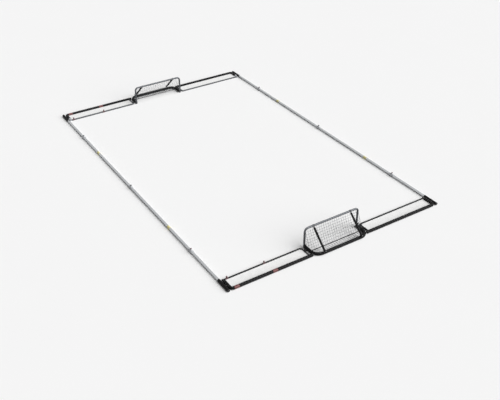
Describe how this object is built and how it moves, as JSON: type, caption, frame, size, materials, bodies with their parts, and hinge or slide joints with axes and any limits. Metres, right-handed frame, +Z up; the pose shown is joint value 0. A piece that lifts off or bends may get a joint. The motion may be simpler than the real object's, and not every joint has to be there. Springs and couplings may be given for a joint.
{
  "type": "pitch back rebounder",
  "caption": "Portable kerb-framed ball pitch: low tube side rails, low netted rebound panels across both ends and a folding mini goal in the middle of each end.",
  "frame": {"origin": "the middle of the court, on the ground that the tubes lie on", "axes": "+X to the right side rail, +Y to the far goal along the court's length, +Z up"},
  "size_m": [4.05, 6.512, 0.3684],
  "materials": {
    "rail_grey": "satin light grey tube",
    "coupler_grey": "moulded light grey plastic",
    "band_yellow": "pale yellow adhesive band",
    "sleeve_dark": "dark powder coat",
    "cap_black": "moulded black plastic",
    "frame_black": "black powder coat",
    "bar_dark": "dark powder coat",
    "bar_grey": "grey powder coat",
    "fitting_grey": "moulded grey plastic",
    "panel_net": "fine white rebound netting",
    "sleeve_red": "red plastic sleeve",
    "clamp_red": "moulded red plastic",
    "bushing_grey": "grey nylon",
    "steel": "zinc plated",
    "goal_net": "square knotted cord net",
    "hoop_silver": "silver powder coat",
    "strut_black": "black powder coat",
    "clip_silver": "moulded silver grey plastic",
    "knob_red": "moulded red knob",
    "knob_black": "moulded black knob",
    "knob_grey": "moulded grey knob"
  },
  "bodies": {
    "root": {"left_rail_near_end": "rail_grey", "left_rail_near_middle": "rail_grey", "left_rail_far_middle": "rail_grey", "left_rail_far_end": "rail_grey", "right_rail_near_end": "rail_grey", "right_rail_near_middle": "rail_grey", "right_rail_far_middle": "rail_grey", "right_rail_far_end": "rail_grey", "left_near_coupler": "coupler_grey", "left_middle_coupler": "coupler_grey", "left_far_coupler": "coupler_grey", "right_near_coupler": "coupler_grey", "right_middle_coupler": "coupler_grey", "right_far_coupler": "coupler_grey", "yellow_bands": "band_yellow", "corner_sleeves": "sleeve_dark", "tube_end_caps": "cap_black", "near_left_panel_tube": "frame_black", "near_left_panel_bar": "bar_dark", "near_right_panel_tube": "frame_black", "near_right_panel_bar": "bar_dark", "far_left_panel_tube": "frame_black", "far_left_panel_bar": "bar_grey", "far_right_panel_tube": "frame_black", "far_right_panel_bar": "bar_grey", "near_panel_nets": "panel_net", "far_panel_nets": "panel_net", "bar_end_fittings": "fitting_grey", "red_tube_sleeves": "sleeve_red", "bar_clamps": "clamp_red", "plunger_bushings": "bushing_grey", "plunger_springs": "steel", "link_spacers": "cap_black", "link_bolts": "steel", "near_goal_base": "frame_black", "far_goal_base": "frame_black", "net_rods": "bar_dark", "near_goal_net": "goal_net", "far_goal_net": "goal_net", "hinge_pins": "steel"},
    "near_hoop": {"near_goal_hoop": "hoop_silver"},
    "far_hoop": {"far_goal_hoop": "hoop_silver"},
    "near_left_strut": {"near_left_strut": "strut_black", "near_left_strut_clip": "clip_silver"},
    "near_right_strut": {"near_right_strut": "strut_black", "near_right_strut_clip": "clip_silver"},
    "far_left_strut": {"far_left_strut": "strut_black", "far_left_strut_clip": "clip_silver"},
    "far_right_strut": {"far_right_strut": "strut_black", "far_right_strut_clip": "clip_silver"},
    "left_near_plunger": {"left_near_knob": "knob_red"},
    "left_middle_plunger": {"left_middle_knob": "knob_black"},
    "left_far_plunger": {"left_far_knob": "knob_grey"},
    "right_near_plunger": {"right_near_knob": "knob_red"},
    "right_middle_plunger": {"right_middle_knob": "knob_black"},
    "right_far_plunger": {"right_far_knob": "knob_red"},
    "near_left_first_bar_plunger": {"near_left_first_bar_knob": "knob_red"},
    "near_left_second_bar_plunger": {"near_left_second_bar_knob": "knob_red"},
    "far_left_first_bar_plunger": {"far_left_first_bar_knob": "knob_red"},
    "far_left_second_bar_plunger": {"far_left_second_bar_knob": "knob_red"}
  },
  "joints": [
    {"name": "near_hoop_fold", "type": "hinge", "parent": "root", "child": "near_hoop", "pos_m": [0, -2.925, 0.068], "axis": [1, 0, 0], "range_deg": [0, 90], "deforming": ["near_goal_net"]},
    {"name": "near_left_strut_fold", "type": "hinge", "parent": "root", "child": "near_left_strut", "pos_m": [-0.355, -3.239, 0.06], "axis": [1, 0, 0], "range_deg": [0, 138]},
    {"name": "near_right_strut_fold", "type": "hinge", "parent": "root", "child": "near_right_strut", "pos_m": [0.355, -3.239, 0.06], "axis": [1, 0, 0], "range_deg": [0, 138]},
    {"name": "far_hoop_fold", "type": "hinge", "parent": "root", "child": "far_hoop", "pos_m": [0, 2.925, 0.068], "axis": [-1, 0, 0], "range_deg": [0, 90], "deforming": ["far_goal_net"]},
    {"name": "far_left_strut_fold", "type": "hinge", "parent": "root", "child": "far_left_strut", "pos_m": [-0.355, 3.239, 0.06], "axis": [-1, 0, 0], "range_deg": [0, 138]},
    {"name": "far_right_strut_fold", "type": "hinge", "parent": "root", "child": "far_right_strut", "pos_m": [0.355, 3.239, 0.06], "axis": [-1, 0, 0], "range_deg": [0, 138]},
    {"name": "left_near_knob_lift", "type": "slide", "parent": "root", "child": "left_near_plunger", "axis": [0, 0, 1], "range_m": [0, 0.004], "stiffness_N_per_m": 800, "springref_m": -0.005, "deforming": ["plunger_springs"]},
    {"name": "left_middle_knob_lift", "type": "slide", "parent": "root", "child": "left_middle_plunger", "axis": [0, 0, 1], "range_m": [0, 0.004], "stiffness_N_per_m": 800, "springref_m": -0.005, "deforming": ["plunger_springs"]},
    {"name": "left_far_knob_lift", "type": "slide", "parent": "root", "child": "left_far_plunger", "axis": [0, 0, 1], "range_m": [0, 0.004], "stiffness_N_per_m": 800, "springref_m": -0.005, "deforming": ["plunger_springs"]},
    {"name": "right_near_knob_lift", "type": "slide", "parent": "root", "child": "right_near_plunger", "axis": [0, 0, 1], "range_m": [0, 0.004], "stiffness_N_per_m": 800, "springref_m": -0.005, "deforming": ["plunger_springs"]},
    {"name": "right_middle_knob_lift", "type": "slide", "parent": "root", "child": "right_middle_plunger", "axis": [0, 0, 1], "range_m": [0, 0.004], "stiffness_N_per_m": 800, "springref_m": -0.005, "deforming": ["plunger_springs"]},
    {"name": "right_far_knob_lift", "type": "slide", "parent": "root", "child": "right_far_plunger", "axis": [0, 0, 1], "range_m": [0, 0.004], "stiffness_N_per_m": 800, "springref_m": -0.005, "deforming": ["plunger_springs"]},
    {"name": "near_left_first_bar_knob_lift", "type": "slide", "parent": "root", "child": "near_left_first_bar_plunger", "axis": [0, 0, 1], "range_m": [0, 0.004], "stiffness_N_per_m": 800, "springref_m": -0.005, "deforming": ["plunger_springs"]},
    {"name": "near_left_second_bar_knob_lift", "type": "slide", "parent": "root", "child": "near_left_second_bar_plunger", "axis": [0, 0, 1], "range_m": [0, 0.004], "stiffness_N_per_m": 800, "springref_m": -0.005, "deforming": ["plunger_springs"]},
    {"name": "far_left_first_bar_knob_lift", "type": "slide", "parent": "root", "child": "far_left_first_bar_plunger", "axis": [0, 0, 1], "range_m": [0, 0.004], "stiffness_N_per_m": 800, "springref_m": -0.005, "deforming": ["plunger_springs"]},
    {"name": "far_left_second_bar_knob_lift", "type": "slide", "parent": "root", "child": "far_left_second_bar_plunger", "axis": [0, 0, 1], "range_m": [0, 0.004], "stiffness_N_per_m": 800, "springref_m": -0.005, "deforming": ["plunger_springs"]}
  ],
  "couplings": [
    {"joint": "near_left_strut_fold", "follows": "near_hoop_fold", "ratio": 1.5275},
    {"joint": "near_right_strut_fold", "follows": "near_hoop_fold", "ratio": 1.5275},
    {"joint": "far_left_strut_fold", "follows": "far_hoop_fold", "ratio": 1.5275},
    {"joint": "far_right_strut_fold", "follows": "far_hoop_fold", "ratio": 1.5275}
  ]
}
